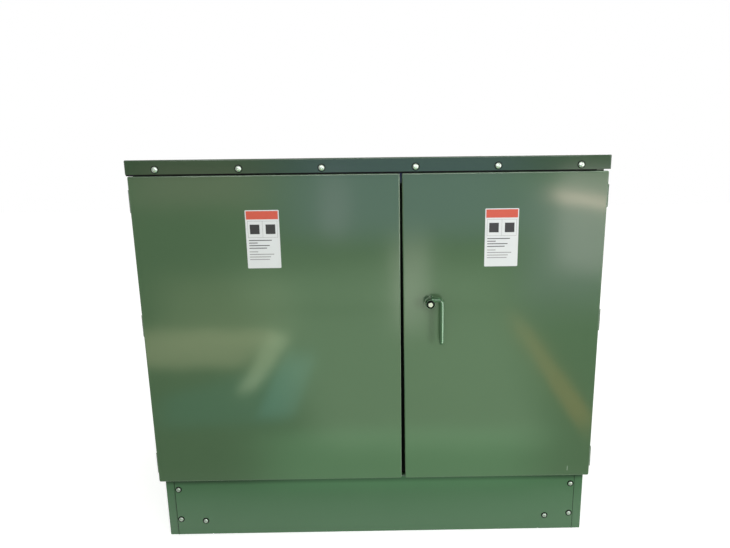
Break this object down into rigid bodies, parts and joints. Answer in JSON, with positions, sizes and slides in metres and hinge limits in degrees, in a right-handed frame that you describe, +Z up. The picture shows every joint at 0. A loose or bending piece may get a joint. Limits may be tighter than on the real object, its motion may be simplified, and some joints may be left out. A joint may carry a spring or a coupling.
{
  "type": "three-phase pad-mounted power transformer",
  "caption": "Pad-mounted power transformer: green steel terminal cabinet with two hinged doors and a lever latch, under a hood, with an oil tank and finned radiators behind.",
  "frame": {"origin": "on the pad, under the middle of the whole unit's box", "axes": "+X to the right along the doors, +Y from the doors to the radiators, +Z up"},
  "size_m": [1.8014, 1.527, 1.5693],
  "materials": {
    "green_enamel": "smooth glossy green enamel on sheet steel",
    "stainless_steel": "bare stainless steel",
    "moulded_rubber": "matt black moulded rubber",
    "tinned_copper": "dull tin plate over copper",
    "valve_brass": "cast and turned brass"
  },
  "bodies": {
    "frame": {"base_rail_front": "green_enamel", "base_rail_rear": "green_enamel", "cabinet_hood": "green_enamel", "compartment_barrier": "green_enamel", "door_header": "green_enamel", "drain_valve": "valve_brass", "front_sill": "green_enamel", "handhole_cover": "green_enamel", "hinge_left_bottom_fixed": "green_enamel", "hinge_left_middle_fixed": "green_enamel", "hinge_left_top_fixed": "green_enamel", "hinge_right_bottom_fixed": "green_enamel", "hinge_right_middle_fixed": "green_enamel", "hinge_right_top_fixed": "green_enamel", "hv_bushing_1": "moulded_rubber", "hv_bushing_2": "moulded_rubber", "hv_bushing_3": "moulded_rubber", "lifting_lug_front_left": "green_enamel", "lifting_lug_front_right": "green_enamel", "lifting_lug_rear_left": "green_enamel", "lifting_lug_rear_right": "green_enamel", "lv_bushing_1": "tinned_copper", "lv_bushing_2": "tinned_copper", "lv_bushing_3": "tinned_copper", "lv_bushing_4": "tinned_copper", "oil_level_gauge": "stainless_steel", "oil_thermometer": "stainless_steel", "radiator_bank_1": "green_enamel", "radiator_bank_2": "green_enamel", "radiator_bank_3": "green_enamel", "side_wall_left": "green_enamel", "side_wall_right": "green_enamel", "tank_body": "green_enamel", "tank_cover": "green_enamel", "tank_front_plate": "green_enamel", "tap_changer": "moulded_rubber"},
    "left_door": {"door_left": "green_enamel", "door_left_stiffener": "green_enamel", "hinge_left_top_leaf": "green_enamel", "hinge_left_middle_leaf": "green_enamel", "hinge_left_bottom_leaf": "green_enamel"},
    "right_door": {"door_right": "green_enamel", "door_right_stiffener": "green_enamel", "latch_collar": "green_enamel", "hinge_right_top_leaf": "green_enamel", "hinge_right_middle_leaf": "green_enamel", "hinge_right_bottom_leaf": "green_enamel"},
    "handle": {"door_handle": "green_enamel", "latch_bolt": "stainless_steel", "latch_cam": "stainless_steel"}
  },
  "joints": [
    {"name": "left_door_hinge", "type": "hinge", "parent": "frame", "child": "left_door", "pos_m": [-0.89285, -0.68155, 0.9325], "axis": [0, 0, -1], "range_deg": [0, 120]},
    {"name": "right_door_hinge", "type": "hinge", "parent": "frame", "child": "right_door", "pos_m": [0.89285, -0.68155, 0.9325], "axis": [0, 0, 1], "range_deg": [0, 120]},
    {"name": "handle_turn", "type": "hinge", "parent": "right_door", "child": "handle", "pos_m": [0.2248, -0.71755, 1.0227], "axis": [0, -1, 0], "range_deg": [0, 90]}
  ]
}
